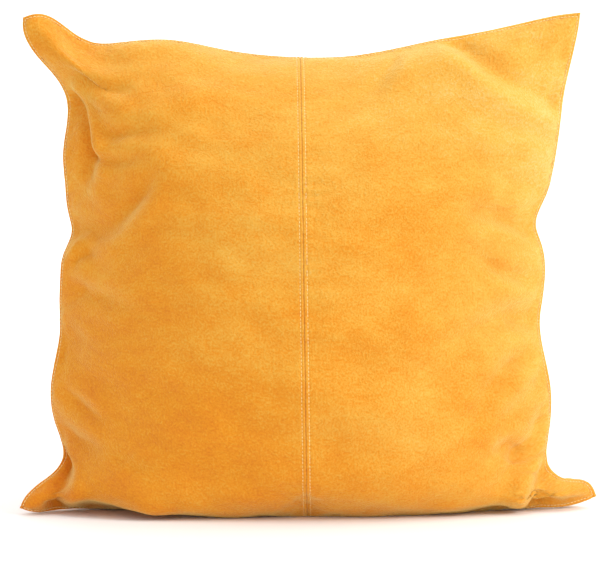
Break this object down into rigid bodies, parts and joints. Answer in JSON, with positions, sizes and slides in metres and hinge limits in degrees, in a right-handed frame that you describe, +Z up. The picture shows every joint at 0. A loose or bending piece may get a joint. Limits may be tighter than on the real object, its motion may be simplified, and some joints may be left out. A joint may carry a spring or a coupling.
{
  "type": "throw pillow",
  "caption": "Square velvet throw pillow standing on its lower edge, with a topstitched centre seam, flat corner ears, a zip across the back and a separate insert.",
  "frame": {"origin": "on the floor, midway across and through the pillow", "axes": "+X to the right seen from the front, +Y from the front to the back, +Z up"},
  "size_m": [0.5, 0.1765, 0.43],
  "materials": {
    "velvet": "matte",
    "thread": "satin",
    "zip_tape": "matte",
    "zip_coil": "satin",
    "zip_metal": "satin",
    "label": "satin",
    "casing": "matte",
    "casing_thread": "satin",
    "filling": "matte"
  },
  "bodies": {
    "pillow": {"front_left_panel": "velvet", "front_right_panel": "velvet", "back_upper_panel": "velvet", "back_lower_panel": "velvet", "centre_topstitch_left": "thread", "centre_topstitch_right": "thread", "edge_topstitch": "thread", "zip_tape_upper": "zip_tape", "zip_tape_lower": "zip_tape", "zip_coil_upper": "zip_coil", "zip_coil_lower": "zip_coil", "zip_end_stops": "zip_metal", "zip_topstitch_upper": "thread", "zip_topstitch_lower": "thread", "zip_end_bartacks": "thread", "cover_care_label": "label", "insert_front_shell": "casing", "insert_back_shell": "casing", "insert_filling": "filling", "insert_seam_stitch": "casing_thread", "insert_care_label": "label"},
    "slider": {"zip_slider": "zip_metal"},
    "pull": {"zip_pull": "zip_metal"}
  },
  "joints": [
    {"name": "zip_slide", "type": "hinge", "parent": "pillow", "child": "slider", "pos_m": [0, -0.262, 0.19], "axis": [0, 0, -1], "range_deg": [0, 60.8]},
    {"name": "zip_pull_swing", "type": "hinge", "parent": "slider", "child": "pull", "pos_m": [-0.17883, 0.04281, 0.19], "axis": [0, 0, 1], "range_deg": [0, 190]}
  ]
}
